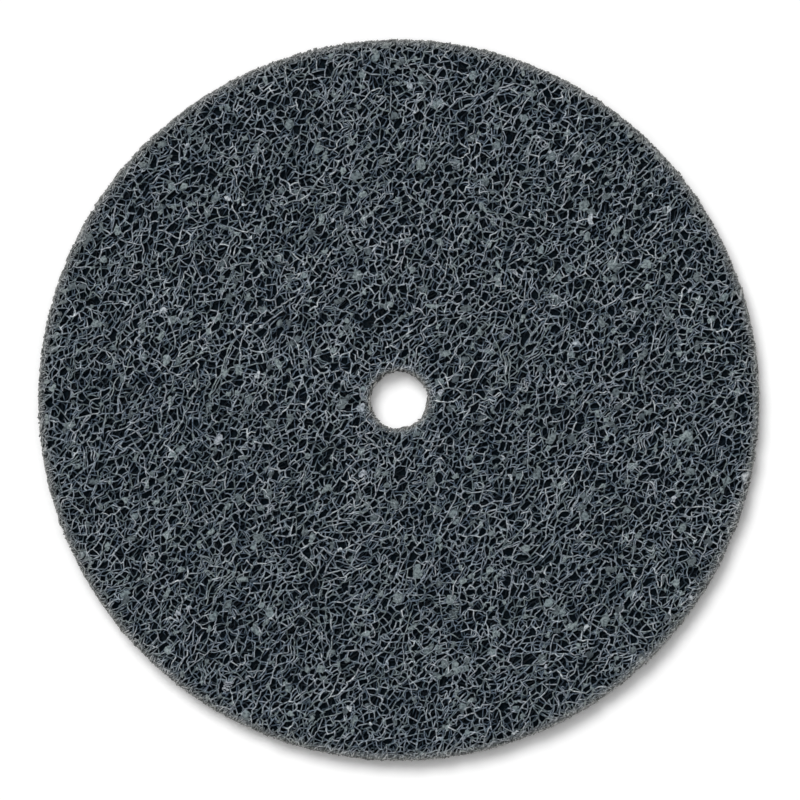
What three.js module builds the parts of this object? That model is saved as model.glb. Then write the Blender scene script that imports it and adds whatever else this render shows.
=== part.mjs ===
import * as THREE from "three";

// A unitized abrasive wheel: layers of crimped nylon web, soaked in an abrasive resin, pressed and
// cured into one slab, and cut out as a thin flat disc with a plain arbor hole.
// Millimetres, +Z up. The wheel lies on its lower face, with the origin at the hole's centre there.

// Driving dimensions
const outerDiameter = 76.2; // a 3 inch wheel
const boreDiameter = 6.35; // for a 1/4 inch arbor
const thickness = 3.175; // 1/8 inch
const rimEdgeRadius = 0.3; // the cut rim's edges, softened by handling
const boreEdgeRadius = 0.15; // the punched hole's edges

// How finely the round stretches are divided
const segmentsAround = 128;
const segmentsPerEdge = 3;

// The web's blue-grey resin
const webColour = "#454d53";
const webRoughness = 0.85;

// Adds the quarter circle of one edge to a section. The centre is in radius and height, and the
// arc runs a quarter turn counter-clockwise from the start angle.
function addEdgeArc(section, centreRadius, centreHeight, edgeRadius, startAngle) {
  for (let step = 0; step <= segmentsPerEdge; step += 1) {
    const angle = startAngle + (step / segmentsPerEdge) * (Math.PI / 2);
    section.push(
      new THREE.Vector2(
        centreRadius + edgeRadius * Math.cos(angle),
        centreHeight + edgeRadius * Math.sin(angle),
      ),
    );
  }
}

// The wheel's section, counter-clockwise from the foot of the rim: up the rim, in over the upper
// face, down the bore, out under the lower face, and closed where it began.
function wheelSection() {
  const rimArcRadius = outerDiameter / 2 - rimEdgeRadius;
  const boreArcRadius = boreDiameter / 2 + boreEdgeRadius;
  const section = [];
  addEdgeArc(section, rimArcRadius, rimEdgeRadius, rimEdgeRadius, -Math.PI / 2);
  addEdgeArc(section, rimArcRadius, thickness - rimEdgeRadius, rimEdgeRadius, 0);
  addEdgeArc(section, boreArcRadius, thickness - boreEdgeRadius, boreEdgeRadius, Math.PI / 2);
  addEdgeArc(section, boreArcRadius, boreEdgeRadius, boreEdgeRadius, Math.PI);
  section.push(section[0].clone());
  return section;
}

// The wheel is one piece: its section turned about the arbor's axis.
function makeWheel() {
  const material = new THREE.MeshStandardMaterial({
    color: webColour,
    roughness: webRoughness,
    metalness: 0,
  });
  const wheel = new THREE.Mesh(new THREE.LatheGeometry(wheelSection(), segmentsAround), material);
  wheel.name = "abrasive_wheel";
  wheel.rotation.x = Math.PI / 2; // a lathe turns about Y, and the wheel's axis is Z
  return wheel;
}

const model = new THREE.Group();
model.add(makeWheel());

export default model;
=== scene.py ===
"""A unitized abrasive wheel: a thin disc cut from a pressed web of crimped nylon strands and resin.

The frame's wheel is one plain ring. What the eye sees of the real one is an open web, so this script
lays the strands one by one, glues them with resin films, and closes the depth behind them with the
inner web, whose near black is painted shade. Lengths are metres, in the same frame as the ring: it
lies flat, its hole's axis is Z.
"""

import math

import bpy
import numpy as np
from mathutils.geometry import delaunay_2d_cdt
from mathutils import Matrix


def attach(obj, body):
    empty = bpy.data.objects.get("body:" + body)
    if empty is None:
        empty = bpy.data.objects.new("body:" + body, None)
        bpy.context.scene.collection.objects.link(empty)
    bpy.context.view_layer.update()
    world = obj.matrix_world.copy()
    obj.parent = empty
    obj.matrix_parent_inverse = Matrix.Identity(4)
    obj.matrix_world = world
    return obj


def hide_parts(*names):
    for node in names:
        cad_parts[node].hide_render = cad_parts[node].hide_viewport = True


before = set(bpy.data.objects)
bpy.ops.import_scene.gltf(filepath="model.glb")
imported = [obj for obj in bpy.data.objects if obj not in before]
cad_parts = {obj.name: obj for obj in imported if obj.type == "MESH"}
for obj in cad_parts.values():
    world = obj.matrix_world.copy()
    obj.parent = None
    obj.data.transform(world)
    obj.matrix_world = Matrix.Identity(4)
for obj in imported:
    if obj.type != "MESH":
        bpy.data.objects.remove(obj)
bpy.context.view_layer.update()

bl_info = {
    "name": "Unitized Abrasive Wheel",
    "version": (1, 0, 0),
    "blender": (4, 5, 0),
    "location": "3D View > Sidebar > Abrasive Wheel",
    "description": "Lays the open nylon web of a unitized abrasive wheel and its studio",
    "category": "Add Mesh",
}

MM = 0.001
NODE = "abrasive_wheel"
BODY = "root"


def ring_of(node):
    """Outer radius, bore radius and thickness of the frame's ring, measured on its own corners."""
    corners = np.array([v.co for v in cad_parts[node].data.vertices])
    radii = np.hypot(corners[:, 0], corners[:, 1])
    return float(radii.max()), float(radii.min()), float(corners[:, 2].max())


OUTER_RADIUS, BORE_RADIUS, THICKNESS = ring_of(NODE)


def linear(hex_colour):
    """The linear colour of an sRGB hex value such as '#6f7a80'."""
    parts = [int(hex_colour[i : i + 2], 16) / 255 for i in (1, 3, 5)]
    return tuple(c / 12.92 if c <= 0.04045 else ((c + 0.055) / 1.055) ** 2.4 for c in parts)


def length(name, description, default):
    """A length that a user can change, in metres."""
    return bpy.props.FloatProperty(
        name=name, description=description, default=default, min=0.0, precision=5, unit="LENGTH"
    )


def angle(name, description, degrees):
    """An angle that a user can change, with its default in degrees."""
    return bpy.props.FloatProperty(
        name=name, description=description, default=math.radians(degrees), subtype="ANGLE"
    )


def share(name, description, default):
    """A part of a whole, which a user can change."""
    return bpy.props.FloatProperty(
        name=name, description=description, default=default, min=0.0, max=1.0, subtype="FACTOR"
    )


def plain_number(name, description, default, least=0.0):
    """A number without a unit that a user can change."""
    return bpy.props.FloatProperty(name=name, description=description, default=default, min=least)


def whole_number(name, description, default, least=0):
    """A whole number that a user can change."""
    return bpy.props.IntProperty(name=name, description=description, default=default, min=least)


def colour(name, description, hex_default):
    """A colour that a user can change, given as sRGB hex."""
    return bpy.props.FloatVectorProperty(
        name=name, description=description, default=linear(hex_default), subtype="COLOR", min=0.0, max=1.0
    )


class WheelSizes(bpy.types.PropertyGroup):
    """The ring that the web fills. The defaults are the frame's."""

    outer_radius: length("Outer radius", "Radius of the cut rim", OUTER_RADIUS)
    bore_radius: length("Bore radius", "Radius of the arbor hole", BORE_RADIUS)
    thickness: length("Thickness", "Height between the two faces", THICKNESS)
    edge_radius: length("Edge radius", "Rounding of the rim's edges", 0.3 * MM)


class WebSettings(bpy.types.PropertyGroup):
    """How the strands are laid."""

    fibre_diameter: length("Fibre diameter", "Nylon strand with its coat of resin", 0.17 * MM)
    crimp_length: length("Crimp length", "Length of one wave of the crimped strand", 2.1 * MM)
    open_depth: length("Open depth", "How far down single strands are laid under a face", 1.15 * MM)
    rim_depth: length("Rim depth", "How far in strands are laid behind a cut wall", 0.7 * MM)
    lay_angle: angle("Lay angle", "Direction that most strands favour", 52)
    aligned_share: share("Aligned share", "Share of strands that follow the lay angle", 0.75)
    curl_share: share("Curl share", "Share of strands that curl into loops", 0.28)
    front_cell: length("Upper cells", "Spacing of the cells in the skin of the upper face", 1.0 * MM)
    back_cell: length("Lower cells", "Spacing of the cells in the skin of the lower face", 1.35 * MM)
    front_layers: plain_number("Upper layers", "Layers of strand under the upper skin", 0.64, 0.1)
    back_layers: plain_number("Lower layers", "Layers of strand under the lower skin", 0.25, 0.1)
    rim_layers: plain_number("Rim layers", "Layers of strand behind the rim's wall", 1.8, 0.1)
    bore_layers: plain_number("Bore layers", "Layers of strand behind the bore's wall", 0.8, 0.1)
    piece_triangles: whole_number(
        "Triangles a piece", "The most that one piece of web may have", 194_000, 1000
    )
    front_films: whole_number("Upper films", "Resin films on the upper face", 1800)
    back_films: whole_number("Lower films", "Resin films on the lower face", 600)
    seed: whole_number("Seed", "Fixes every random choice", 7)


class WebColours(bpy.types.PropertyGroup):
    """The colours of resin, nylon and the shadowed depth."""

    resin_dark: colour("Dark resin", "Strands with a thick coat of grit", "#5c6569")
    resin_green: colour("Green resin", "Thin coats, slightly green", "#a1adad")
    resin: colour("Resin", "The coat of most strands", "#b6bec4")
    resin_violet: colour("Violet resin", "Coats with a violet cast", "#c3c7ce")
    resin_light: colour("Light resin", "Bare, lightly coated strands", "#dbe0e3")
    # The colour of a bright fleck: a rubbed spot that is partly a painted highlight
    wear_and_highlight: colour("Worn resin", "Bright flecks where the coat is rubbed", "#f0f4f6")
    # Partly raw nylon and partly painted light that comes in at the cut walls
    cut_nylon_and_edge_light: colour("Cut nylon", "Raw strand ends at the rim and the bore", "#a8a6a0")
    # Painted shade: these three darken strands the deeper they lie, in place of the shade that the strands
    # above cast
    half_shade: colour("Half shade", "What strands keep of their colour part way down", "#b5bfc8")
    far_shade: colour("Far shade", "What strands keep of their colour lower still", "#6f8091")
    deep_shade: colour("Deep web", "What strands keep of their colour far down", "#0a1c28")
    # The inner web's two colours are painted shade: strands far down are as blue-grey as those above, in
    # shadow
    inner_strand_shade: colour("Inner strands", "Ghosts of strands in the closed depth", "#0a1319")
    inner: colour("Inner web", "The closed depth behind the strands", "#020c13")


class StudioSettings(bpy.types.PropertyGroup):
    """Camera, lamps and floor."""

    lens: bpy.props.FloatProperty(
        name="Lens", description="Focal length for a 36 mm sensor", default=800.0, unit="CAMERA"
    )
    frame_width: length("Frame width", "Width of the square view at the upper face", 84.5 * MM)
    frame_shift_x: length("Frame shift", "How far right of the hole the camera stands", 0.127 * MM)
    lamp_side: angle("Lamp side", "Side that the lamps stand on, turned from +X", 120)
    key_height: angle("Key height", "Height of the key lamp above the floor", 61)
    key_width: angle("Key width", "Angle that the key lamp spans", 26.5)
    key_share: share("Key share", "Share of the light that comes from the key lamp", 0.49)
    top_height: angle("Top height", "Height of the wide top lamp above the floor", 80.5)
    top_width: angle("Top width", "Angle that the top lamp spans", 53.5)
    top_share: share("Top share", "Share of the light that comes from the top lamp", 0.475)
    floor_width: length("Floor width", "Width of the pale floor", 6.0)
    floor_glow: plain_number("Floor glow", "How much brighter than lit the camera sees the floor", 0.076)
    floor_colour: colour("Floor", "Pale floor", "#fafafa")


class WheelSettings(bpy.types.PropertyGroup):
    """Everything a user would change."""

    sizes: bpy.props.PointerProperty(type=WheelSizes)
    web: bpy.props.PointerProperty(type=WebSettings)
    colours: bpy.props.PointerProperty(type=WebColours)
    studio: bpy.props.PointerProperty(type=StudioSettings)


def add_node(tree, kind, inputs=None, stops=(), **settings):
    """Adds a node with its settings. An input is a value, or the output socket that feeds it.

    Colours are given without alpha. A colour ramp also takes its stops, as (place, colour)."""
    node = tree.nodes.new(kind)
    for name, value in settings.items():
        setattr(node, name, value)
    for name, value in (inputs or {}).items():
        socket = node.inputs[name]
        if isinstance(value, bpy.types.NodeSocket):
            tree.links.new(value, socket)
        else:
            socket.default_value = (*value, 1) if socket.type == "RGBA" else value
    if stops:
        elements = node.color_ramp.elements
        while len(elements) < len(stops):
            elements.new(0.5)
        for element, (place, shade) in zip(elements, stops):
            element.position = place
            element.color = (*shade, 1)
    return node


# Laying the strands

LAY_STEP = 0.1 * MM  # spacing of the points while a strand is laid
STRAND_LENGTH = 9 * MM  # the longest staple
SHORTEST_STAPLE = 0.5  # the shortest, as a share of the longest
MEAN_STAPLE = (1 + SHORTEST_STAPLE) / 2
ROUNDS = 70  # strands are laid in this many rounds, each mostly under the last
CHOICES = 10  # strands thrown for each one that is kept, where the web is barest
FAN_RATE = math.radians(12) / (38 * MM)  # the favoured direction turns this fast across the web
LONGEST_STRETCH = 0.5 * MM  # straight stretches keep a point this often
SHARPEST_TURN = 0.78  # radians that a strand may turn between two kept points
COARSEST = 2.3  # strands at full depth are kept this much more coarsely
WALL_COARSENESS = 1.5  # and those behind a wall this much more
SHORTEST_RUN = 0.4 * MM  # shorter pieces are dropped
TRIANGLES_A_STRETCH = 6  # three sides, two triangles each

# How a crimped strand turns, in radians, and the reach over which each turn comes and goes
LAY_SPREAD = 0.28  # how far aligned strands stray from the favoured direction
CRIMP_SPREAD = (0.6, 1.4)  # length of a strand's waves, in crimp lengths
CRIMP_SHARPNESS = 2  # 1 is a plain wave; more makes the legs straighter and the corners sharper
CRIMP_DRIFT = 0.8
CRIMP_REACH = 3.2 * MM
DRAWN_SHARE = 0.5  # strands that were drawn nearly straight
DRAWN_SWING = (0.1, 0.45)
LOOSE_SWING = (0.45, 1.05)
SWING_DRIFT = 0.4
SWING_REACH = 3 * MM
WANDER = (0.1, 0.5)
WANDER_REACH = 2.2 * MM
KINKS = 0.28
KINK_REACH = 0.4 * MM
CURL_RATE = (0.6, 1.7)  # radians to a millimetre
CURL_REACH = 3 * MM

# How its height, tone and girth vary
CREST = 0.09 * MM  # each crimp lifts it this much
ROLL = 0.13 * MM  # and it rises and falls by this much besides
ROLL_REACH = 1.5 * MM
TONES = (0.3, 0.68)
GIRTHS = (0.8, 1.16)
COAT_DRIFT = 0.1
COAT_REACH = 0.9 * MM
FLECK_LEVEL = 2.0  # a bright fleck, a rubbed spot with a painted highlight, comes where a wave of unit spread passes this
FLECK_REACH = 0.55 * MM
FLECK_TONE = 0.8
FLECK_GIRTH = 0.5
GIRTH_LIMITS = (0.6, 1.7)

# Tows: one to three strands that cling to another for part of its length
TOW_SHARE = 0.25  # strands with others beside them
MEAN_TOW = 2  # how many they have, on the whole
TOW_LENGTH = 0.35  # share of their length for which those stay, on the whole
TOW_GAP = 0.36 * MM
TOW_UNEVENNESS = 0.15
TOW_STRAY = 0.05 * MM
TOW_REACH = 2 * MM
TOW_TONE = 0.1

# How strands pile up under a face
COVER_CELL = 0.2 * MM
COVER_BLUR = 0.24 * MM
BARE_COVER = 0.25  # a strand stays at the face until this much of it is covered
ON_SKIN = 0.3  # the share of strands, laid first, that come up among those of the skin
PILE_STEP = 0.4 * MM  # depth that each full layer of strands above adds
SAG = 9  # steps over which a strand's depth is evened out
DIVE = 0.4 * MM  # how far a strand's ends sink into the web
DIVE_LENGTH = 0.9 * MM
SINK_CURVE = 1.3  # later rounds are laid deeper, by this power of how far the laying has come
SINK_SPREAD = (0.3, 1)  # and by this share of it

# The cut walls: how far strand ends stand proud of them or fall short, and strands behind them swing
PROUD_LEAST = -0.14 * MM
PROUD_MOST = 0.02 * MM
TUFT_MOST = 0.12 * MM  # tufts stand out by up to this besides
TUFT_SHARE = 0.12
SHORT_MOST = 0.5 * MM
SHORT_SHARE = 0.25
WALL_SWING = 2.2  # strands behind a wall rise and fall this much more than those of a face
WALL_MARGIN = 0.7  # they keep this many fibre diameters off the faces
WALL_THROW = STRAND_LENGTH / 3  # strands this far outside the band behind a wall may reach into it
BORE_FUZZ = 0.22 * MM  # the punch leaves strand ends that reach into the bore


def smooth_step(low, high, values):
    t = np.clip((values - low) / (high - low), 0, 1)
    return t * t * (3 - 2 * t)


def through_knots(knots, place):
    """Smooth curves through the knots of each row, at places counted in knots."""
    knot = np.minimum(place.astype(int), knots.shape[1] - 3)
    t = place - knot
    a, b, c, d = (knots[:, knot + shift] for shift in (-1, 0, 1, 2))
    return b + 0.5 * t * (c - a + t * (2 * a - 5 * b + 4 * c - d + t * (3 * (b - c) + d - a)))


def wave(rng, rows, steps, reach):
    """Smooth random curves of about unit spread, one to a row, that turn over in about reach."""
    knots = rng.standard_normal((rows, math.ceil(steps * LAY_STEP / reach) + 4))
    return through_knots(knots, np.arange(steps) * LAY_STEP / reach + 1)


class Strands:
    """Strands laid side by side: a row for each, a column for each step along it."""

    def __init__(self, x, y, depth, tone, girth, laid):
        self.x, self.y, self.depth, self.tone, self.girth, self.laid = x, y, depth, tone, girth, laid

    def rows(self, chosen):
        return Strands(*(part[chosen] for part in vars(self).values()))

    def joined(self, other):
        pairs = zip(vars(self).values(), vars(other).values())
        return Strands(*(np.concatenate(pair) for pair in pairs))

    def mean_depth(self):
        return np.where(self.laid, self.depth, 0).sum(1) / np.maximum(self.laid.sum(1), 1)

    def from_ends(self):
        """How far each point lies from the nearer end of its strand."""
        step = np.arange(self.x.shape[1])
        first = column(self.laid.argmax(1))
        last = first + column(self.laid.sum(1)) - 1
        return np.minimum(step - first, last - step) * LAY_STEP


def column(values):
    return values[:, None]


def scattered(rng, count, low_radius, high_radius):
    """The x and y of places spread over a ring."""
    radius = np.sqrt(rng.uniform(low_radius**2, high_radius**2, count))
    turn = rng.uniform(0, math.tau, count)
    return radius * np.cos(turn), radius * np.sin(turn)


def crimped_strands(rng, middle_x, middle_y, web):
    """Throws crimped strands at places. Depth is left as a wave about nought, to be set by the caller."""
    count = len(middle_x)
    steps = round(STRAND_LENGTH / LAY_STEP)
    run = np.arange(steps) * LAY_STEP
    fan = FAN_RATE * (middle_y - middle_x) / math.sqrt(2)
    favoured = web.lay_angle + fan + rng.normal(0, LAY_SPREAD, count)
    aligned = rng.random(count) < web.aligned_share
    start = np.where(aligned, favoured, rng.uniform(0, math.tau, count))
    period = web.crimp_length * rng.uniform(*CRIMP_SPREAD, count)
    phase = column(rng.uniform(0, math.tau, count)) + math.tau * run / column(period)
    phase = phase + CRIMP_DRIFT * wave(rng, count, steps, CRIMP_REACH)
    drawn = rng.random(count) < DRAWN_SHARE
    swing = np.where(drawn, rng.uniform(*DRAWN_SWING, count), rng.uniform(*LOOSE_SWING, count))
    swing = column(swing) * (1 + SWING_DRIFT * wave(rng, count, steps, SWING_REACH))
    wander = column(rng.uniform(*WANDER, count)) * wave(rng, count, steps, WANDER_REACH)
    wander += KINKS * wave(rng, count, steps, KINK_REACH)
    curled = rng.random(count) < web.curl_share
    curl_rate = np.where(curled, rng.uniform(*CURL_RATE, count) / MM, 0) * rng.choice((-1, 1), count)
    curl = np.clip(wave(rng, count, steps, CURL_REACH), 0, None)
    curl = np.cumsum(column(curl_rate) * curl, 1) * LAY_STEP
    # A crimp is a zigzag of nearly straight legs with rounded corners
    heading = column(start) + wander + swing * np.tanh(CRIMP_SHARPNESS * np.sin(phase)) + curl
    x = np.cumsum(np.cos(heading), 1) * LAY_STEP
    y = np.cumsum(np.sin(heading), 1) * LAY_STEP
    x += column(middle_x - x.mean(1))
    y += column(middle_y - y.mean(1))
    depth = CREST * np.sin(phase + column(rng.uniform(0, math.tau, count)))
    depth = depth + ROLL * wave(rng, count, steps, ROLL_REACH)
    tone = column(rng.uniform(*TONES, count)) + COAT_DRIFT * wave(rng, count, steps, COAT_REACH)
    # Flecks are rubbed spots that are painted bright as a highlight
    flecks = np.clip(wave(rng, count, steps, FLECK_REACH) - FLECK_LEVEL, 0, None)
    girth = column(rng.uniform(*GIRTHS, count)) + COAT_DRIFT * wave(rng, count, steps, COAT_REACH)
    girth = np.clip(girth + FLECK_GIRTH * flecks, *GIRTH_LIMITS)
    tone = np.clip(tone + FLECK_TONE * flecks, 0, 1)
    laid = np.arange(steps) < column(rng.uniform(SHORTEST_STAPLE, 1.0, count) * steps)
    return Strands(x, y, depth, tone, girth, laid)


def with_tows(rng, strands):
    """Adds the strands that cling to some of the others for a few crimps, in step beside them."""
    count, steps = strands.x.shape
    leaders = np.flatnonzero(rng.random(count) < TOW_SHARE)
    leaders = np.repeat(leaders, rng.integers(1, 4, len(leaders)))
    # The first follower of a leader lies one gap off, the next two gaps, and so on
    place = np.arange(len(leaders)) - np.searchsorted(leaders, leaders) + 1
    tow = strands.rows(leaders)
    across = np.arctan2(tow.y[:, -1] - tow.y[:, 0], tow.x[:, -1] - tow.x[:, 0]) + math.pi / 2
    offset = TOW_GAP * place * (1 + TOW_UNEVENNESS * rng.standard_normal(len(leaders)))
    stray_x, stray_y, rise = (TOW_STRAY * wave(rng, len(leaders), steps, TOW_REACH) for _ in range(3))
    tow.x = tow.x + column(offset * np.cos(across)) + stray_x
    tow.y = tow.y + column(offset * np.sin(across)) + stray_y
    tow.depth = tow.depth + rise
    tow.tone = np.clip(tow.tone + column(rng.normal(0, TOW_TONE, len(leaders))), 0, 1)
    # They start in its first half, and stay for a fifth to a half of its length
    first = rng.integers(0, steps // 2, len(leaders))
    last = first + rng.integers(steps // 5, steps // 2, len(leaders))
    step = np.arange(steps)
    tow.laid = (step >= column(first)) & (step < column(last))
    return strands.joined(tow)


# The skin of cells: at a face the strands are glued into a net of short spans round uneven cells

ROW_SPACING = math.sqrt(3) / 2  # even cells stand in rows this far apart, in spacings
CELL_STRETCH = 1.13  # cells are this much longer along the lay, and as much narrower across it
CELL_JITTER = 0.48  # how far cells stray from even rows, in spacings
CELL_LOSS = 0.23  # share of cells that have run into their neighbours
SAME_POINT = 1e-6  # cell centres nearer than this are one, in mm
SPAN_STEPS = 6  # points along the strand between two nodes
LONGEST_PATH = 20  # nodes that one strand passes through
THIN_SPAN = 0.15  # how much thinner a strand is half way between nodes
BOW = 0.115 * MM  # how far a span bows aside between nodes
BOW_REACH = 0.3 * MM
RELIEF = 0.09 * MM  # how far nodes lie under the face, on the whole
HOLLOWS = 0.035 * MM  # how much lower they lie in patches
PATCH_STEPS = 5  # patches reach about the square root of this many links
STRAND_DROP = 0.06 * MM  # how much lower whole strands of a net lie, on the whole
NODE_TONE = 0.45
PATCH_TONE = 0.04  # how far patches of nodes differ in tone
SINGLE_TONE = 0.12  # how far single nodes do
STRAND_TONE = 0.16  # how far whole strands do
FLECKS = 0.07  # share of nodes that are rubbed, with a painted highlight on them
FLECK_TONES = (0.4, 1)
NODE_GIRTH = 1.12  # resin gathers at nodes, and more of it at the flecked ones
SINGLE_GIRTH = 0.12
FLECK_SWELL = 0.35
NODE_LIMITS = (0.85, 1.7)
STRAND_GIRTHS = (0.8, 1.2)
NETS = 2  # nets that cross each other in the skin
NET_DROP = 0.1 * MM  # how much lower each lies than the last
DRAWN_STRAIGHT = 0.65  # how far each node moves towards the middle of its strand's neighbours


class CellNet:
    """A net of nodes and links round cells, in the plane of a face."""

    def __init__(self, rng, reach, spacing, angle):
        rows = math.ceil(reach * CELL_STRETCH / (ROW_SPACING * spacing))
        across, up = (part.ravel() for part in np.meshgrid(*[np.arange(-rows, rows + 1)] * 2))
        stray = rng.uniform(-CELL_JITTER, CELL_JITTER, (2, len(up)))
        along = (across + 0.5 * (up % 2) + stray[0]) * spacing
        aside = (ROW_SPACING * up + stray[1]) * spacing
        inside = np.hypot(along * CELL_STRETCH, aside / CELL_STRETCH) < reach
        kept = inside & (rng.random(len(up)) > CELL_LOSS)
        centres = np.column_stack((along[kept], aside[kept]))
        # Nodes are the middles of the triangles between cell centres; links join neighbours
        in_mm = [tuple(centre / MM) for centre in centres]
        corners, _, triangles, *_ = delaunay_2d_cdt(in_mm, [], [], 0, SAME_POINT)
        triangles = np.array(triangles)
        nodes = np.array([tuple(corner) for corner in corners])[triangles].mean(1) * MM
        # The net is made with even cells, then stretched along the lay and turned to it
        turn = np.array(((math.cos(angle), math.sin(angle)), (-math.sin(angle), math.cos(angle))))
        lay = column(np.array((CELL_STRETCH, 1 / CELL_STRETCH))) * turn
        self.centres = centres @ lay
        self.nodes = nodes @ lay
        sides = np.sort(triangles[:, ((0, 1), (1, 2), (2, 0))].reshape(-1, 2), 1)
        owner = np.repeat(np.arange(len(triangles)), 3)
        order = np.lexsort(sides.T)
        shared = (sides[order[1:]] == sides[order[:-1]]).all(1)
        self.links = np.column_stack((owner[order[:-1]][shared], owner[order[1:]][shared]))
        self.onward = self.straightest()

    def straightest(self):
        """At each node the two links that make the straightest way through are one strand."""
        meeting = [[] for _ in self.nodes]
        for number, (a, b) in enumerate(self.links):
            way = self.nodes[b] - self.nodes[a]
            way = way / math.hypot(*way)
            meeting[a].append((number, way))
            meeting[b].append((number, -way))
        onward = {}
        for node, ways in enumerate(meeting):
            pairs = [(w @ v, i, j) for k, (i, w) in enumerate(ways) for j, v in ways[:k]]
            if pairs:
                _, i, j = min(pairs)
                onward[node, i], onward[node, j] = j, i
        return onward

    def other_end(self, link, node):
        a, b = self.links[link]
        return b if a == node else a

    def relax(self, amount):
        """Draws each strand straighter at the nodes that it passes through."""
        middle = self.nodes.copy()
        middle_of = {}
        for node, link in self.onward:
            middle_of.setdefault(node, []).append(self.other_end(link, node))
        for node, ends in middle_of.items():
            middle[node] = self.nodes[ends].mean(0)
        self.nodes += amount * (middle - self.nodes)

    def patches(self, rng):
        """A value for each node, of unit spread, that is much the same for its neighbours."""
        values = rng.standard_normal(len(self.nodes))
        ends, others = np.concatenate((self.links, self.links[:, ::-1])).T
        around = np.maximum(np.bincount(ends, minlength=len(values)), 1)
        for _ in range(PATCH_STEPS):
            values = (values + np.bincount(ends, values[others], len(values)) / around) / 2
        return values / values.std()

    def paths(self, rng):
        """The nodes along each strand."""
        used = np.zeros(len(self.links), bool)
        paths = []
        for number in rng.permutation(len(self.links)):
            if used[number]:
                continue
            used[number] = True
            path = list(self.links[number])
            for _ in range(2):
                link, node = number, path[-1]
                while len(path) < LONGEST_PATH and not used[self.onward.get((node, link), link)]:
                    link = self.onward[node, link]
                    used[link] = True
                    node = self.other_end(link, node)
                    path.append(node)
                path.reverse()
            paths.append(path)
        return paths


def cell_net(sizes, web, spacing, seed):
    net = CellNet(np.random.default_rng((*seed, 2)), sizes.outer_radius + 2 * spacing, spacing, web.lay_angle)
    net.relax(DRAWN_STRAIGHT)
    return net


def cell_strands(net, seed):
    """The strands of a net."""
    rng = np.random.default_rng((*seed, 3))
    count = len(net.nodes)
    # Flecks are rubbed nodes that are painted bright as a highlight
    fleck = np.where(rng.random(count) < FLECKS, rng.uniform(*FLECK_TONES, count), 0)
    patches = PATCH_TONE * net.patches(rng)
    tone = np.clip(NODE_TONE + patches + rng.normal(0, SINGLE_TONE, count) + fleck, 0, 1)
    girth = np.clip(rng.normal(NODE_GIRTH, SINGLE_GIRTH, count) + FLECK_SWELL * fleck, *NODE_LIMITS)
    depth = RELIEF * np.abs(rng.standard_normal(count)) + HOLLOWS * np.clip(net.patches(rng), 0, None)
    paths = net.paths(rng)
    # Every row starts with its first node twice and is filled with its last
    rows = np.array([[path[0], *path, *[path[-1]] * (LONGEST_PATH + 1 - len(path))] for path in paths])
    step = np.arange((LONGEST_PATH - 1) * SPAN_STEPS + 1)
    place = 1 + step / SPAN_STEPS
    parts = (*net.nodes.T, depth, tone, girth)
    x, y, depth, tone, girth = (through_knots(part[rows], place) for part in parts)
    # Spans are thinner than nodes, and bow
    between = np.sin(math.pi * place) ** 2
    girth *= column(rng.uniform(*STRAND_GIRTHS, len(paths))) * (1 - THIN_SPAN * between)
    depth += column(rng.exponential(STRAND_DROP, len(paths)))
    tone += column(rng.normal(0, STRAND_TONE, len(paths)))
    x += BOW * wave(rng, len(paths), len(step), BOW_REACH) * between
    y += BOW * wave(rng, len(paths), len(step), BOW_REACH) * between
    laid = step <= column(np.array([len(path) - 1 for path in paths]) * SPAN_STEPS)
    return Strands(x, y, np.clip(depth, 0, None), np.clip(tone, 0, 1), girth, laid)


class Cover:
    """A map of how thickly strands cover a face so far: 1 is a layer's worth."""

    def __init__(self, reach, fibre_diameter):
        self.half = math.ceil(reach / COVER_CELL)
        self.side = 2 * self.half + 1
        self.load = fibre_diameter * LAY_STEP / COVER_CELL**2
        self.map = np.zeros(self.side**2)
        down = column(np.fft.fftfreq(self.side)) ** 2
        over = np.fft.rfftfreq(self.side) ** 2
        self.blur = np.exp(-2 * (math.pi * COVER_BLUR / COVER_CELL) ** 2 * (down + over))

    def cells(self, strands):
        places = (np.round(part / COVER_CELL).astype(int) + self.half for part in (strands.y, strands.x))
        row, along = (np.clip(place, 0, self.side - 1) for place in places)
        return row * self.side + along

    def add(self, strands):
        weights = np.where(strands.laid, strands.girth * self.load, 0)
        self.map += np.bincount(self.cells(strands).ravel(), weights.ravel(), self.side**2)

    def smoothed(self):
        spectrum = np.fft.rfft2(self.map.reshape(self.side, self.side))
        return np.fft.irfft2(spectrum * self.blur, (self.side, self.side)).ravel()


def evened(values, steps):
    """A running mean along each row."""
    padded = np.pad(values, ((0, 0), (steps // 2 + 1, steps // 2)), "edge").cumsum(1)
    return (padded[:, steps:] - padded[:, :-steps]) / steps


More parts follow.
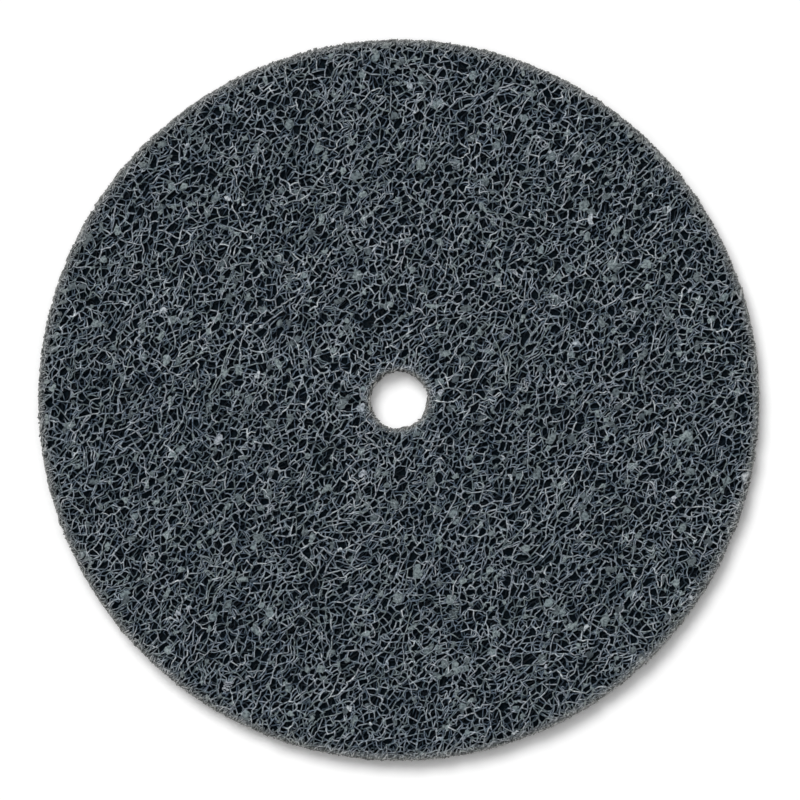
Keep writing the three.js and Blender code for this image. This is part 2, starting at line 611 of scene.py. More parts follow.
def lay_face(sizes, web, skin, layers, seed):
    """The strands under the skin of one face, the nearest to it first, with the depth of each point.

    They are laid from the face inwards, round by round: each lies under those that are there, and comes
    up to the face where it is bare."""
    rng = np.random.default_rng(seed)
    spread = sizes.outer_radius + STRAND_LENGTH / 2
    strand_cover = web.fibre_diameter * STRAND_LENGTH * (MEAN_STAPLE + TOW_SHARE * MEAN_TOW * TOW_LENGTH)
    each = round(layers * math.pi * spread**2 / strand_cover / ROUNDS)
    cover = Cover(spread + STRAND_LENGTH / 2, web.fibre_diameter)
    cover.add(skin)
    rounds = []
    for number in range(ROUNDS):
        so_far = cover.smoothed()
        choices = crimped_strands(rng, *scattered(rng, each * CHOICES, 0, spread), web)
        barest = np.argsort(so_far[cover.cells(choices)].mean(1))[:each]
        strands = with_tows(rng, choices.rows(barest))
        above = PILE_STEP * np.clip(so_far[cover.cells(strands)] - BARE_COVER, 0, None)
        above *= smooth_step(0, ON_SKIN, number / ROUNDS)
        sunk = web.open_depth * (number / ROUNDS) ** SINK_CURVE
        rest = sunk * rng.uniform(*SINK_SPREAD, len(above))
        strands.depth += evened(np.maximum(above, column(rest)), SAG)
        strands.depth += DIVE * (1 - smooth_step(0, DIVE_LENGTH, strands.from_ends()))
        cover.add(strands)
        rounds.append(strands)
    parts = (np.concatenate(part) for part in zip(*(vars(strands).values() for strands in rounds)))
    strands = Strands(*parts)
    strands.depth = np.clip(strands.depth, 0, web.open_depth)
    return strands.rows(np.argsort(strands.mean_depth()))


def under_face(strands, sizes, web):
    """The height of each strand's centre, below a face at nought."""
    drop = face_drop(np.hypot(strands.x, strands.y), sizes)
    return -strands.depth - web.fibre_diameter / 2 * strands.girth - drop


def thinned(points, others, coarseness):
    """Keeps the points of one run that its shape needs: more of them where it turns."""
    steps = np.diff(points, axis=0)
    reach = np.linalg.norm(steps, axis=1)
    heading = np.unwrap(np.arctan2(steps[:, 1], steps[:, 0]))
    turn = np.abs(np.diff(heading, append=heading[-1]))
    need = np.maximum(reach / LONGEST_STRETCH, turn / SHARPEST_TURN) / coarseness
    need = np.concatenate(([0], np.cumsum(need)))
    wanted = np.linspace(0, need[-1], max(2, round(need[-1]) + 1))
    return [np.interp(wanted, need, part) for part in (*points.T, *others)]


def cut_runs(strands, z, low_radius, high_radius, coarseness):
    """Cuts the strands where they leave the ring between two radii, and thins what is left.

    Gives x, y, z, tone and girth along each run, in the order in which the strands come."""
    radius = np.hypot(strands.x, strands.y)
    keep = strands.laid & (radius > column(low_radius)) & (radius < column(high_radius))
    shortest = round(SHORTEST_RUN / LAY_STEP)
    runs = []
    for row in range(len(keep)):
        edges = np.flatnonzero(np.diff(keep[row].astype(np.int8), prepend=0, append=0))
        for first, last in zip(edges[::2], edges[1::2]):
            if last - first >= shortest:
                part = slice(first, last)
                points = np.column_stack((strands.x[row, part], strands.y[row, part], z[row, part]))
                others = (strands.tone[row, part], strands.girth[row, part])
                runs.append(thinned(points, others, coarseness[row]))
    return runs


def face_runs(sizes, web, spacing, layers, seed):
    """The runs of strand under a face at nought, cut at the rim and the bore: the skin, then the rest."""
    skin = cell_strands(cell_net(sizes, web, spacing, seed), seed)
    for net in range(1, NETS):
        crossing = cell_strands(cell_net(sizes, web, spacing, (*seed, net)), (*seed, net))
        crossing.depth += net * NET_DROP
        skin = skin.joined(crossing)
    rng = np.random.default_rng((*seed, 0))
    runs = []
    for strands in (skin, lay_face(sizes, web, skin, layers, seed)):
        count = len(strands.x)
        low = ragged(rng, count, sizes.bore_radius - BORE_FUZZ, -1)
        high = ragged(rng, count, sizes.outer_radius, 1)
        coarseness = 1 + (COARSEST - 1) * strands.mean_depth() / web.open_depth
        runs += cut_runs(strands, under_face(strands, sizes, web), low, high, coarseness)
    return runs


def face_drop(radius, sizes):
    """How far the rounded edges bring a face down at each radius."""
    edge = sizes.edge_radius
    over_rim = np.clip(radius - (sizes.outer_radius - edge), 0, edge)
    over_bore = np.clip(sizes.bore_radius + edge / 2 - radius, 0, edge / 2) * 2
    over = np.maximum(over_rim, over_bore)
    return edge - np.sqrt(edge**2 - over**2)


def ragged(rng, count, wall_radius, open_side):
    """The radius at which each strand ends: most near the wall, tufts proud of it, some short of it.
    The open side of the wall is outwards (1) or inwards (-1)."""
    proud = rng.uniform(PROUD_LEAST, PROUD_MOST, count)
    proud += np.where(rng.random(count) < TUFT_SHARE, rng.uniform(0, TUFT_MOST, count), 0)
    short = rng.uniform(-SHORT_MOST, 0, count)
    return wall_radius + open_side * np.where(rng.random(count) < SHORT_SHARE, short, proud)


def lay_wall(sizes, web, layers, seed, wall_radius, inward):
    """Runs of strand behind a cut wall, between the faces. Inward is -1 at the rim and 1 at the bore."""
    rng = np.random.default_rng(seed)
    thickness = sizes.thickness
    near, far = sorted((wall_radius, wall_radius + inward * web.rim_depth))
    low_spread, high_spread = max(near - WALL_THROW, 0), far + WALL_THROW
    # The length of strand in the band, then on each square metre of plan, then in all
    banded = layers * math.tau * wall_radius * thickness / web.fibre_diameter
    density = banded / (math.pi * (far**2 - near**2))
    thrown = math.pi * (high_spread**2 - low_spread**2) * density
    count = round(thrown / (STRAND_LENGTH * MEAN_STAPLE))
    strands = crimped_strands(rng, *scattered(rng, count, low_spread, high_spread), web)
    margin = web.fibre_diameter * WALL_MARGIN
    level = margin + (thickness - 2 * margin) * (rng.permutation(count) + 0.5) / count
    drop = face_drop(np.hypot(strands.x, strands.y), sizes)
    z = np.clip(WALL_SWING * strands.depth + column(level), drop + margin, thickness - drop - margin)
    if inward < 0:
        low, high = np.full(count, near), ragged(rng, count, wall_radius, 1)
    else:
        low, high = ragged(rng, count, wall_radius - BORE_FUZZ, -1), np.full(count, far)
    return cut_runs(strands, z, low, high, np.full(count, WALL_COARSENESS))


def triangles_of(run):
    return TRIANGLES_A_STRETCH * (len(run[0]) - 1) + 2


def shares(runs, pieces, budget):
    """Splits runs into pieces, in order, of as many triangles each, within a budget for each."""
    cost = np.cumsum([triangles_of(run) for run in runs])
    each = min(budget, cost[-1] / pieces)
    bounds = np.searchsorted(cost, [each * k for k in range(pieces + 1)])
    return [runs[a:b] for a, b in zip(bounds, bounds[1:])]


def strand_lines(name, runs):
    """A mesh of loose edges along the runs, with each point's tone and girth as attributes."""
    lengths = np.array([len(run[0]) for run in runs])
    x, y, z, tone, girth = (np.concatenate(part) for part in zip(*runs))
    inner = np.ones(len(x), bool)
    inner[np.cumsum(lengths) - 1] = False
    starts = np.flatnonzero(inner)
    mesh = bpy.data.meshes.new(name)
    mesh.vertices.add(len(x))
    mesh.vertices.foreach_set("co", np.column_stack((x, y, z)).astype(np.float32).ravel())
    mesh.edges.add(len(starts))
    mesh.edges.foreach_set("vertices", np.column_stack((starts, starts + 1)).astype(np.int32).ravel())
    store(mesh, "tone", tone)
    store(mesh, "girth", girth)
    mesh.update()
    return mesh


def store(mesh, name, values):
    """Writes a number for each vertex under a name that materials and trees can read."""
    layer = mesh.attributes.get(name) or mesh.attributes.new(name, "FLOAT", "POINT")
    layer.data.foreach_set("value", np.asarray(values, np.float32))


# Geometry node trees


def new_tree(name, inputs):
    """A geometry node tree with a geometry in and out, and a named input for each (name, type, default)."""
    tree = bpy.data.node_groups.new(name, "GeometryNodeTree")
    tree.interface.new_socket("Geometry", in_out="INPUT", socket_type="NodeSocketGeometry")
    tree.interface.new_socket("Geometry", in_out="OUTPUT", socket_type="NodeSocketGeometry")
    for label, kind, default in inputs:
        socket = tree.interface.new_socket(label, in_out="INPUT", socket_type=kind)
        if default is not None:
            socket.default_value = default
    return tree, add_node(tree, "NodeGroupInput").outputs


def finish_tree(tree, geometry, material):
    """Ends a tree: real geometry, with its material."""
    real = add_node(tree, "GeometryNodeRealizeInstances", {"Geometry": geometry})
    painted = add_node(tree, "GeometryNodeSetMaterial", {"Geometry": real.outputs[0], "Material": material})
    add_node(tree, "NodeGroupOutput", {"Geometry": painted.outputs[0]})


def coated_strand_tree():
    """Sweeps a three-sided section along loose edges, as wide at each point as its girth says."""
    tree, given = new_tree(
        "coated_strands",
        (
            ("Fibre Diameter", "NodeSocketFloat", 0.2 * MM),
            ("Sides", "NodeSocketInt", 3),
            ("Turn", "NodeSocketFloat", 0.0),
            ("Material", "NodeSocketMaterial", None),
        ),
    )
    line = add_node(tree, "GeometryNodeMeshToCurve", {"Mesh": given["Geometry"]})
    level = add_node(tree, "GeometryNodeSetCurveNormal", {"Curve": line.outputs[0]}, mode="Z_UP")
    girth = add_node(tree, "GeometryNodeInputNamedAttribute", {"Name": "girth"}, data_type="FLOAT")
    # A section of three sides is as wide as a round one when its corners stand this much further out
    corner = add_node(
        tree, "ShaderNodeMath", {0: given["Fibre Diameter"], 1: 1 / math.sqrt(3)}, operation="MULTIPLY"
    )
    scale = add_node(
        tree, "ShaderNodeMath", {0: corner.outputs[0], 1: girth.outputs["Attribute"]}, operation="MULTIPLY"
    )
    section = add_node(
        tree, "GeometryNodeCurvePrimitiveCircle", {"Resolution": given["Sides"], "Radius": 1.0}, mode="RADIUS"
    )
    turn = add_node(tree, "ShaderNodeCombineXYZ", {"Z": given["Turn"]})
    turned = add_node(
        tree, "GeometryNodeTransform", {"Geometry": section.outputs["Curve"], "Rotation": turn.outputs[0]}
    )
    swept = add_node(
        tree,
        "GeometryNodeCurveToMesh",
        {
            "Curve": level.outputs[0],
            "Profile Curve": turned.outputs[0],
            "Scale": scale.outputs[0],
            "Fill Caps": True,
        },
    )
    round_look = add_node(tree, "GeometryNodeSetShadeSmooth", {0: swept.outputs[0], "Shade Smooth": True})
    finish_tree(tree, round_look.outputs[0], given["Material"])
    return tree


def resin_film_tree():
    """Sets a thin dome at each point, turned and stretched by its attributes, with an uneven outline."""
    tree, given = new_tree(
        "resin_films",
        (
            ("Thickness", "NodeSocketFloat", 0.05 * MM),
            ("Unevenness", "NodeSocketFloat", 0.95 * MM),
            ("Patch", "NodeSocketFloat", 0.4 * MM),
            ("Material", "NodeSocketMaterial", None),
        ),
    )
    dome = add_node(
        tree,
        "GeometryNodeMeshCone",
        {"Vertices": 10, "Radius Top": 0.0, "Radius Bottom": 1.0, "Depth": given["Thickness"]},
        fill_type="NGON",
    )
    turn = add_node(tree, "GeometryNodeInputNamedAttribute", {"Name": "turn"}, data_type="FLOAT")
    spin = add_node(tree, "ShaderNodeCombineXYZ", {"Z": turn.outputs["Attribute"]})
    stretch = add_node(tree, "GeometryNodeInputNamedAttribute", {"Name": "stretch"}, data_type="FLOAT_VECTOR")
    films = add_node(
        tree,
        "GeometryNodeInstanceOnPoints",
        {
            "Points": given["Geometry"],
            "Instance": dome.outputs["Mesh"],
            "Rotation": spin.outputs[0],
            "Scale": stretch.outputs["Attribute"],
        },
    )
    real = add_node(tree, "GeometryNodeRealizeInstances", {"Geometry": films.outputs[0]})
    # Where a film stands decides how its outline runs, so no two are alike
    place = add_node(tree, "GeometryNodeInputPosition")
    scale = add_node(tree, "ShaderNodeMath", {0: 1.0, 1: given["Patch"]}, operation="DIVIDE")
    noise = add_node(
        tree, "ShaderNodeTexNoise", {"Vector": place.outputs[0], "Scale": scale.outputs[0], "Detail": 1.0}
    )
    pull = add_node(
        tree, "ShaderNodeVectorMath", {0: noise.outputs["Color"], 1: (0.5, 0.5, 0.5)}, operation="SUBTRACT"
    )
    flat = add_node(tree, "ShaderNodeCombineXYZ", {"X": given["Unevenness"], "Y": given["Unevenness"]})
    shift = add_node(
        tree, "ShaderNodeVectorMath", {0: pull.outputs[0], 1: flat.outputs[0]}, operation="MULTIPLY"
    )
    uneven = add_node(
        tree, "GeometryNodeSetPosition", {"Geometry": real.outputs[0], "Offset": shift.outputs[0]}
    )
    finish_tree(tree, uneven.outputs[0], given["Material"])
    return tree


def grown(name, mesh, tree, values):
    """Runs a tree over a mesh and returns the plain mesh object that comes of it."""
    seedling = bpy.data.objects.new(name + "_seedling", mesh)
    bpy.context.scene.collection.objects.link(seedling)
    modifier = seedling.modifiers.new(tree.name, "NODES")
    modifier.node_group = tree
    for item in tree.interface.items_tree:
        if item.in_out == "INPUT" and item.name in values:
            modifier[item.identifier] = values[item.name]
    evaluated = seedling.evaluated_get(bpy.context.evaluated_depsgraph_get())
    made = bpy.data.objects.new(name, bpy.data.meshes.new_from_object(evaluated))
    made.data.name = name
    # A tree that starts from a primitive leaves an empty material slot in front
    if made.data.materials[0] is None:
        made.data.materials.pop(index=0)
    bpy.data.objects.remove(seedling)
    bpy.data.meshes.remove(mesh)
    bpy.context.scene.collection.objects.link(made)
    return made


# Marking each point of the web: how deep it lies, for painted shade, how near a cut wall, and its place on
# the chart

CUT_BAND = 2.1 * MM  # raw nylon, and painted light from the wall, show this far in from a cut wall
RAW_AND_EDGE_LIT_MOST = 0.8  # how far a strand's colour goes to the cut colour at a cut wall: partly its coat gone, partly painted light
BORE_BAND_NARROWING = 4  # at the bore the band is this much narrower
CHART_EDGE = 0.02  # the chart of finishes keeps this far off the edges of its map
CHART_HEIGHT = 0.96
TONE_WIDTH = 0.56
CUT_START = 0.62
CUT_WIDTH = 0.36
WALL_LIGHT = 0.25  # light comes further in through a cut wall than through a face
BORE_GLOOM = 1.6  # at the bore, which is narrow, it comes this much less far in


def mark_web(mesh, sizes, web):
    """Stores on each vertex its depth under the nearest outside (0 to 1), for painted shade, and its nearness
    to a cut wall.
    """
    places = np.empty(len(mesh.vertices) * 3, np.float32)
    mesh.vertices.foreach_get("co", places)
    x, y, z = places.reshape(-1, 3).T
    radius = np.hypot(x, y)
    to_wall = np.minimum(sizes.outer_radius - radius, (radius - sizes.bore_radius) * BORE_GLOOM)
    to_face = np.minimum(sizes.thickness - z, z)
    depth = np.clip(np.minimum(WALL_LIGHT * to_wall, to_face) / web.open_depth, 0, 1)
    # The cut band: raw nylon, and painted light from the cut wall
    from_cut = np.minimum(sizes.outer_radius - radius, (radius - sizes.bore_radius) * BORE_BAND_NARROWING)
    cut = (1 - np.clip(from_cut / CUT_BAND, 0, 1)) ** 2
    store(mesh, "depth", depth)
    store(mesh, "cut", cut)
    paint_chart(mesh, depth, cut)


def paint_chart(mesh, depth, cut):
    """A UV map in which a place stands for a finish: tone across and depth up on the left, and on the
    right nearness to a cut wall in place of tone. Faces of one finish share a place, as on a chart."""
    tone = np.empty(len(mesh.vertices), np.float32)
    mesh.attributes["tone"].data.foreach_get("value", tone)
    corner_vertex = np.empty(len(mesh.loops), np.int32)
    mesh.loops.foreach_get("vertex_index", corner_vertex)
    sides = np.empty(len(mesh.polygons), np.int32)
    mesh.polygons.foreach_get("loop_total", sides)
    face = np.repeat(np.arange(len(sides)), sides)
    raw_and_edge_lit = np.zeros(len(sides), np.float32)
    np.maximum.at(raw_and_edge_lit, face, cut[corner_vertex])
    across_cut = CUT_START + CUT_WIDTH * cut[corner_vertex]
    u = np.where(raw_and_edge_lit[face] > 0, across_cut, CHART_EDGE + TONE_WIDTH * tone[corner_vertex])
    v = CHART_EDGE + CHART_HEIGHT * depth[corner_vertex]
    chart = mesh.uv_layers.new(name="OFBake")
    chart.data.foreach_set("uv", np.column_stack((u, v)).astype(np.float32).ravel())


def settle(piece, sizes, web):
    """Last steps for a piece of web: its marks, and what it stands for."""
    mark_web(piece.data, sizes, web)
    carry(piece)


def carry(piece):
    """A piece moves with the wheel's body and stands for the frame's ring."""
    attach(piece, BODY)
    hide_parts(NODE)


# Materials

WHITE = (1, 1, 1)
GRIT = 0.09 * MM  # real grit is about 0.05 mm, which wouldn't show
COAT_RUN = 0.28 * MM  # the coat runs thick and thin along a strand this often
THIN_COAT = (0.37, 0.39, 0.405)  # share of red, green and blue left where the coat is at its dullest
GRIT_SHADE = (0.8, 0.8, 0.8)  # share left in the dips between grains: painted shade where the grit's bump is low
INNER_CELL = 0.8 * MM  # spacing of the ghosts of cells in the inner web


def new_material(name):
    material = bpy.data.materials.new(name)
    material.use_nodes = True
    material.node_tree.nodes.clear()
    return material, material.node_tree


def finish_material(tree, base, roughness, normal, constants):
    inputs = {"Base Color": base, "Roughness": roughness, "Normal": normal, **constants}
    shader = add_node(tree, "ShaderNodeBsdfPrincipled", inputs)
    add_node(tree, "ShaderNodeOutputMaterial", {"Surface": shader.outputs[0]})


def coated_nylon(colours):
    """Crimped nylon strand, dipped in phenolic resin full of fine grit and cured.

    The eye gets a dull, dry blue-grey that drifts a little to green and violet with the coat's
    thickness, bright flecks on rubbed spots that are partly a painted highlight, raw tan nylon at the
    cuts that is partly painted light from the cut walls, and painted shade far down."""
    material, tree = new_material("nylon_coated_in_abrasive_resin")
    tone, cut, depth = (
        add_node(tree, "ShaderNodeAttribute", attribute_name=name).outputs["Fac"]
        for name in ("tone", "cut", "depth")
    )
    # The top stop of the tone ramp is the bright fleck, partly a painted highlight
    coat = add_node(
        tree,
        "ShaderNodeValToRGB",
        {"Fac": tone},
        (
            (0.0, colours.resin_dark),
            (0.25, colours.resin_green),
            (0.45, colours.resin),
            (0.62, colours.resin_violet),
            (0.8, colours.resin_light),
            (1.0, colours.wear_and_highlight),
        ),
    )
    # Near a cut wall the colour goes to the cut colour: partly raw nylon, partly painted light from the wall
    cut_and_edge_light = add_node(tree, "ShaderNodeMapRange", {"Value": cut, "To Max": RAW_AND_EDGE_LIT_MOST})
    raw_and_edge_lit = {0: cut_and_edge_light.outputs[0], 6: coat.outputs[0], 7: colours.cut_nylon_and_edge_light}
    shade = add_node(tree, "ShaderNodeMix", raw_and_edge_lit, data_type="RGBA").outputs[2]
    # Painted shade: the deeper a point lies, the darker its colour
    depth_shade = add_node(
        tree,
        "ShaderNodeValToRGB",
        {"Fac": depth},
        ((0, WHITE), (0.2, colours.half_shade), (0.3, colours.far_shade), (0.4, colours.deep_shade)),
    )
    place = add_node(tree, "ShaderNodeTexCoord").outputs["Object"]
    grit = add_node(tree, "ShaderNodeTexNoise", {"Vector": place, "Scale": 1 / GRIT, "Detail": 2.0})
    # Painted shade in the dips of the grit, where its bump is low
    speckle = add_node(
        tree, "ShaderNodeValToRGB", {"Fac": grit.outputs["Fac"]}, ((0.3, GRIT_SHADE), (0.7, WHITE))
    )
    coating = add_node(tree, "ShaderNodeTexNoise", {"Vector": place, "Scale": 1 / COAT_RUN, "Detail": 1.0})
    drift = add_node(
        tree, "ShaderNodeValToRGB", {"Fac": coating.outputs["Fac"]}, ((0.36, THIN_COAT), (0.6, WHITE))
    )
    # Inputs 6 and 7 are the two colours, and output 2 is what comes of them
    for layer in (depth_shade, drift, speckle):
        inputs = {0: 1.0, 6: shade, 7: layer.outputs["Color"]}
        shade = add_node(tree, "ShaderNodeMix", inputs, data_type="RGBA", blend_type="MULTIPLY").outputs[2]
    rough = add_node(
        tree, "ShaderNodeMapRange", {"Value": grit.outputs["Fac"], "To Min": 0.5, "To Max": 0.8}
    )
    bump = add_node(
        tree, "ShaderNodeBump", {"Height": grit.outputs["Fac"], "Strength": 0.5, "Distance": 0.02 * MM}
    )
    shine = {"IOR": 1.5, "Specular IOR Level": 0.15}
    finish_material(tree, shade, rough.outputs[0], bump.outputs[0], shine)
    return material


def inner_web(colours):
    """The depth of the web, many strands deep, where little light comes.

    The eye gets near black, with the ghost of more strands in it: both are painted shade, for the strands
    down there are as blue-grey as those above."""
    material, tree = new_material("inner_web_in_shadow")
    place = add_node(tree, "ShaderNodeTexCoord").outputs["Object"]
    cells = add_node(
        tree,
        "ShaderNodeTexVoronoi",
        {"Vector": place, "Scale": 1 / INNER_CELL, "Randomness": 1.0},
        feature="DISTANCE_TO_EDGE",
    )
    # Painted shade: near-black cells, with dim ghosts of strands along their edges
    base = add_node(
        tree,
        "ShaderNodeValToRGB",
        {"Fac": cells.outputs["Distance"]},
        ((0.05, colours.inner_strand_shade), (0.2, colours.inner)),
    )
    bump = add_node(
        tree, "ShaderNodeBump", {"Height": cells.outputs["Distance"], "Strength": 0.6, "Distance": 0.1 * MM},
        invert=True,
    )
    rough = add_node(
        tree, "ShaderNodeMapRange", {"Value": cells.outputs["Distance"], "To Min": 0.75, "To Max": 0.95}
    )
    shine = {"IOR": 1.5, "Specular IOR Level": 0.05}
    finish_material(tree, base.outputs[0], rough.outputs[0], bump.outputs[0], shine)
    return material


def one_of(name, make, *given):
    """The material or tree of that name if it has been made, or else a new one."""
    for store_of in (bpy.data.materials, bpy.data.node_groups):
        if name in store_of:
            return store_of[name]
    return make(*given)


def web_material(settings):
    return one_of("nylon_coated_in_abrasive_resin", coated_nylon, settings.colours)


def sweep(name, runs, settings, up):
    """One piece of web from its runs, the ridge of each strand up (1) or down (-1)."""
    web = settings.web
    tree = one_of("coated_strands", coated_strand_tree)
    values = {"Fibre Diameter": web.fibre_diameter, "Sides": 3, "Turn": -up * math.pi / 2}
    values["Material"] = web_material(settings)
    piece = grown(name, strand_lines(name, runs), tree, values)
    settle(piece, settings.sizes, web)
    return piece


def lifted(runs, height, up):
    """Runs laid under a face at nought, moved to a face at a height that looks up (1) or down (-1)."""
    return [[x, y, height + up * z, tone, girth] for x, y, z, tone, girth in runs]


# Operators

CORE_RINGS = 16
CORE_SEGMENTS = 160
CORE_UNEVENNESS = 0.05 * MM
FRONT_PIECES = ("web_front_top", "web_front_upper", "web_front_lower", "web_front_deep")
BACK_PIECES = ("web_back_top", "web_back_deep")
FRONT_SEED, BACK_SEED, RIM_SEED, BORE_SEED, CORE_SEED = range(1, 6)


def sweep_all(names, runs, settings, up):
    for name, part in zip(names, shares(runs, len(names), settings.web.piece_triangles)):
        sweep(name, part, settings, up)


class WHEEL_OT_front_web(bpy.types.Operator):
    """Lay the strands under the upper face"""

    bl_idname = "wheel.front_web"
    bl_label = "Upper web"

    def execute(self, context):
        settings = context.scene.abrasive_wheel
        web = settings.web
        runs = face_runs(settings.sizes, web, web.front_cell, web.front_layers, (web.seed, FRONT_SEED))
        sweep_all(FRONT_PIECES, lifted(runs, settings.sizes.thickness, 1), settings, 1)
        return {"FINISHED"}


class WHEEL_OT_back_web(bpy.types.Operator):
    """Lay the strands under the lower face"""

    bl_idname = "wheel.back_web"
    bl_label = "Lower web"

    def execute(self, context):
        settings = context.scene.abrasive_wheel
        web = settings.web
        runs = face_runs(settings.sizes, web, web.back_cell, web.back_layers, (web.seed, BACK_SEED))
        sweep_all(BACK_PIECES, lifted(runs, 0.0, -1), settings, -1)
        return {"FINISHED"}


class WHEEL_OT_cut_walls(bpy.types.Operator):
    """Lay the strands that the cut rim and the bore show end on"""

    bl_idname = "wheel.cut_walls"
    bl_label = "Rim and bore"

    def execute(self, context):
        settings = context.scene.abrasive_wheel
        sizes, web = settings.sizes, settings.web
        rim = lay_wall(sizes, web, web.rim_layers, (web.seed, RIM_SEED), sizes.outer_radius, -1)
        bore = lay_wall(sizes, web, web.bore_layers, (web.seed, BORE_SEED), sizes.bore_radius, 1)
        sweep_all(("web_rim",), rim, settings, 1)
        sweep_all(("web_bore",), bore, settings, 1)
        return {"FINISHED"}


# Resin films: gussets at the nodes of the skin, and sheets that close a few of its cells

GUSSET_REACH = 0.25 * MM
GUSSET_SPREAD = 0.45  # on a log scale
GUSSET_LIMITS = (0.6, 2.6)
GUSSET_SLIMNESS = (0.4, 0.8)
CLOSED_CELLS = 0.035  # share of cells that a sheet closes
SHEET_REACH = 0.45  # in cell spacings, and how far sheets differ from it
SHEET_SPREAD = (0.7, 1.1)
FILM_DEPTHS = (0.75, 1.1)  # of gussets and sheets, in fibre diameters
FILM_TURN = 0.6  # radians that films stray from the lay angle
FILM_MARGIN = 0.6 * MM  # no films nearer a cut wall than this
FILM_THICKNESS = 0.05 * MM
FILM_UNEVENNESS = 0.95 * MM  # an outline is seldom pulled by more than a quarter of this
PALE_FILMS = 0.035  # share of films that show as pale flecks; the rest are dull
PALE_TONES = (0.6, 0.9)
DULL_TONES = (0, 0.25)


def films_of(net, spacing, sizes, web, rng, gussets):
    """Places under a face at nought for films, the way to turn and stretch each, and its tone."""
    chosen = net.nodes[rng.permutation(len(net.nodes))[:gussets]]
    closed = net.centres[rng.random(len(net.centres)) < CLOSED_CELLS]
    reach = GUSSET_REACH * np.clip(rng.lognormal(0, GUSSET_SPREAD, len(chosen)), *GUSSET_LIMITS)
    gusset = np.column_stack((reach, reach * rng.uniform(*GUSSET_SLIMNESS, len(chosen))))
    wide = SHEET_REACH * spacing * rng.uniform(*SHEET_SPREAD, (len(closed), 1))
    wide = wide * (CELL_STRETCH, 1 / CELL_STRETCH)
    x, y = np.concatenate((chosen, closed)).T
    radius = np.hypot(x, y)
    depth = np.repeat(FILM_DEPTHS, (len(chosen), len(closed))) * web.fibre_diameter
    places = np.column_stack((x, y, -depth - face_drop(radius, sizes)))
    turn = web.lay_angle + rng.normal(0, FILM_TURN, len(x))
    stretch = np.column_stack((np.concatenate((gusset, wide)), np.ones(len(x))))
    inside = (radius < sizes.outer_radius - FILM_MARGIN) & (radius > sizes.bore_radius + FILM_MARGIN)
    pale = rng.random(len(x)) < PALE_FILMS
    tone = np.where(pale, rng.uniform(*PALE_TONES, len(x)), rng.uniform(*DULL_TONES, len(x)))
    return [part[inside] for part in (places, turn, stretch, tone)]


def film_points(name, places, turn, stretch, tone):
    mesh = bpy.data.meshes.new(name)
    mesh.vertices.add(len(places))
    mesh.vertices.foreach_set("co", places.astype(np.float32).ravel())
    store(mesh, "turn", turn)
    store(mesh, "tone", tone)
    layer = mesh.attributes.new("stretch", "FLOAT_VECTOR", "POINT")
    layer.data.foreach_set("vector", stretch.astype(np.float32).ravel())
    return mesh


class WHEEL_OT_resin_films(bpy.types.Operator):
    """Lay resin films at the nodes of the faces and in some of their cells"""

    bl_idname = "wheel.resin_films"
    bl_label = "Resin films"

    def execute(self, context):
        settings = context.scene.abrasive_wheel
        sizes, web = settings.sizes, settings.web
        sides = (
            ("resin_films_front", web.front_cell, FRONT_SEED, web.front_films, sizes.thickness, 1),
            ("resin_films_back", web.back_cell, BACK_SEED, web.back_films, 0.0, -1),
        )
        for name, spacing, seed, films, level, up in sides:
            net = cell_net(sizes, web, spacing, (web.seed, seed))
            rng = np.random.default_rng((web.seed, seed, 1))
            places, turn, stretch, tone = films_of(net, spacing, sizes, web, rng, films)
            places[:, 2] = level + up * places[:, 2]
            tree = one_of("resin_films", resin_film_tree)
            values = {"Thickness": FILM_THICKNESS, "Unevenness": FILM_UNEVENNESS}
            values["Material"] = web_material(settings)
            piece = grown(name, film_points(name, places, turn, stretch, tone), tree, values)
            settle(piece, sizes, web)
        return {"FINISHED"}


class WHEEL_OT_inner_web(bpy.types.Operator):
    """Close the depth of the web behind the strands"""

    bl_idname = "wheel.inner_web"
    bl_label = "Inner web"

    def execute(self, context):
        settings = context.scene.abrasive_wheel
        sizes, web = settings.sizes, settings.web
        inset = web.rim_depth - web.fibre_diameter
        low = web.open_depth - web.fibre_diameter / 2
        high = sizes.thickness - low
        rings = np.linspace(sizes.bore_radius + inset, sizes.outer_radius - inset, CORE_RINGS)
        profile = [(r, low) for r in rings] + [(r, high) for r in rings[::-1]]
        rng = np.random.default_rng((web.seed, CORE_SEED))
        vertices = []
        for turn in np.arange(CORE_SEGMENTS) * math.tau / CORE_SEGMENTS:
            uneven = rng.normal(0, CORE_UNEVENNESS, len(profile))
            vertices += [
                (r * math.cos(turn), r * math.sin(turn), z + lift) for (r, z), lift in zip(profile, uneven)
            ]
        across = len(profile)
        faces = []
        for i in range(CORE_SEGMENTS):
            here, ahead = i * across, (i + 1) % CORE_SEGMENTS * across
            for j in range(across):
                after = (j + 1) % across
                faces.append((here + j, ahead + j, ahead + after, here + after))
        mesh = bpy.data.meshes.new("web_core")
        mesh.from_pydata(vertices, [], faces)
        mesh.shade_smooth()
        mesh.materials.append(one_of("inner_web_in_shadow", inner_web, settings.colours))
        piece = bpy.data.objects.new("web_core", mesh)
        context.scene.collection.objects.link(piece)
        carry(piece)
        return {"FINISHED"}


def floor_material(studio):
    """Matt white paper sweep, which the camera and mirrors see a touch brighter than it is lit."""
    material, tree = new_material("white_paper_sweep")
    paper = add_node(tree, "ShaderNodeBsdfDiffuse", {"Color": studio.floor_colour})
    glow = add_node(tree, "ShaderNodeEmission", {"Color": WHITE, "Strength": studio.floor_glow})
    lit = add_node(tree, "ShaderNodeAddShader", {0: paper.outputs[0], 1: glow.outputs[0]})
    seen = add_node(
        tree, "ShaderNodeMixShader", {0: seen_directly(tree), 1: paper.outputs[0], 2: lit.outputs[0]}
    )
    add_node(tree, "ShaderNodeOutputMaterial", {"Surface": seen.outputs[0]})
    return material


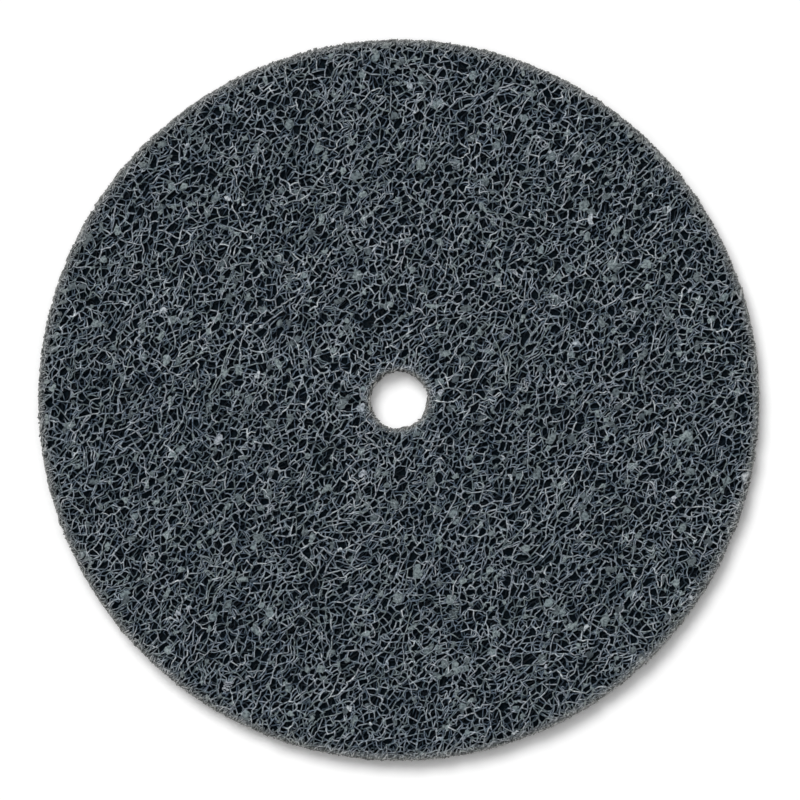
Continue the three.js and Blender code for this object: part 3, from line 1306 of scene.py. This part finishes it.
def seen_directly(tree):
    """1 for a ray from the camera, or one that a mirror or glass passes on."""
    path = add_node(tree, "ShaderNodeLightPath").outputs
    seen = path["Is Camera Ray"]
    for kind in ("Is Glossy Ray", "Is Transmission Ray"):
        seen = add_node(tree, "ShaderNodeMath", {0: seen, 1: path[kind]}, operation="MAXIMUM").outputs[0]
    return seen


class WHEEL_OT_studio(bpy.types.Operator):
    """Set up the floor, the two soft lamps and the camera"""

    bl_idname = "wheel.studio"
    bl_label = "Studio"

    def execute(self, context):
        scene = context.scene
        settings = scene.abrasive_wheel
        sizes, studio = settings.sizes, settings.studio
        scene.view_settings.view_transform = "Standard"
        half = studio.floor_width / 2
        floor_mesh = bpy.data.meshes.new("floor")
        corners = [(-half, -half, 0), (half, -half, 0), (half, half, 0), (-half, half, 0)]
        floor_mesh.from_pydata(corners, [], [(0, 1, 2, 3)])
        floor_mesh.materials.append(floor_material(studio))
        floor = bpy.data.objects.new("floor", floor_mesh)
        scene.collection.objects.link(floor)
        # A white level surface sends back light of strength 1 when the lamps and the sky together do
        for name, height, width, part in (
            ("key_lamp", studio.key_height, studio.key_width, studio.key_share),
            ("top_lamp", studio.top_height, studio.top_width, studio.top_share),
        ):
            lamp = bpy.data.lights.new(name, "SUN")
            lamp.angle = width
            lamp.energy = math.pi * part / math.sin(height)
            lamp_object = bpy.data.objects.new(name, lamp)
            lamp_object.rotation_euler = (0, math.pi / 2 - height, studio.lamp_side)
            scene.collection.objects.link(lamp_object)
        world = bpy.data.worlds.new("studio_sky")
        world.use_nodes = True
        tree = world.node_tree
        tree.nodes.clear()
        sky_share = max(0.0, 1 - studio.key_share - studio.top_share)
        sky = add_node(tree, "ShaderNodeBackground", {"Strength": sky_share, "Color": WHITE})
        white = add_node(tree, "ShaderNodeBackground", {"Strength": 1.0, "Color": WHITE})
        seen = add_node(
            tree, "ShaderNodeMixShader", {0: seen_directly(tree), 1: sky.outputs[0], 2: white.outputs[0]}
        )
        add_node(tree, "ShaderNodeOutputWorld", {"Surface": seen.outputs[0]})
        scene.world = world
        camera = bpy.data.cameras.new("camera")
        camera.lens = studio.lens
        camera.clip_start = 10 * MM
        distance = studio.frame_width * camera.lens / camera.sensor_width
        camera_object = bpy.data.objects.new("camera", camera)
        camera_object.location = (studio.frame_shift_x, 0, sizes.thickness + distance)
        scene.collection.objects.link(camera_object)
        scene.camera = camera_object
        return {"FINISHED"}


class WHEEL_PT_panel(bpy.types.Panel):
    """The wheel's sizes, colours and pieces"""

    bl_idname = "WHEEL_PT_panel"
    bl_label = "Abrasive Wheel"
    bl_space_type = "VIEW_3D"
    bl_region_type = "UI"
    bl_category = "Abrasive Wheel"

    def draw(self, context):
        settings = context.scene.abrasive_wheel
        for group in (settings.sizes, settings.web, settings.colours, settings.studio):
            box = self.layout.box()
            for name in group.__annotations__:
                box.prop(group, name)
        for operator in OPERATORS:
            self.layout.operator(operator.bl_idname)


OPERATORS = (
    WHEEL_OT_inner_web,
    WHEEL_OT_front_web,
    WHEEL_OT_back_web,
    WHEEL_OT_cut_walls,
    WHEEL_OT_resin_films,
    WHEEL_OT_studio,
)
CLASSES = (WheelSizes, WebSettings, WebColours, StudioSettings, WheelSettings, *OPERATORS, WHEEL_PT_panel)


def register():
    for cls in CLASSES:
        bpy.utils.register_class(cls)
    bpy.types.Scene.abrasive_wheel = bpy.props.PointerProperty(type=WheelSettings)


def unregister():
    del bpy.types.Scene.abrasive_wheel
    for cls in reversed(CLASSES):
        bpy.utils.unregister_class(cls)


def main():
    register()
    for operator in OPERATORS:
        group, name = operator.bl_idname.split(".")
        getattr(getattr(bpy.ops, group), name)()


if __name__ == "__main__":
    main()
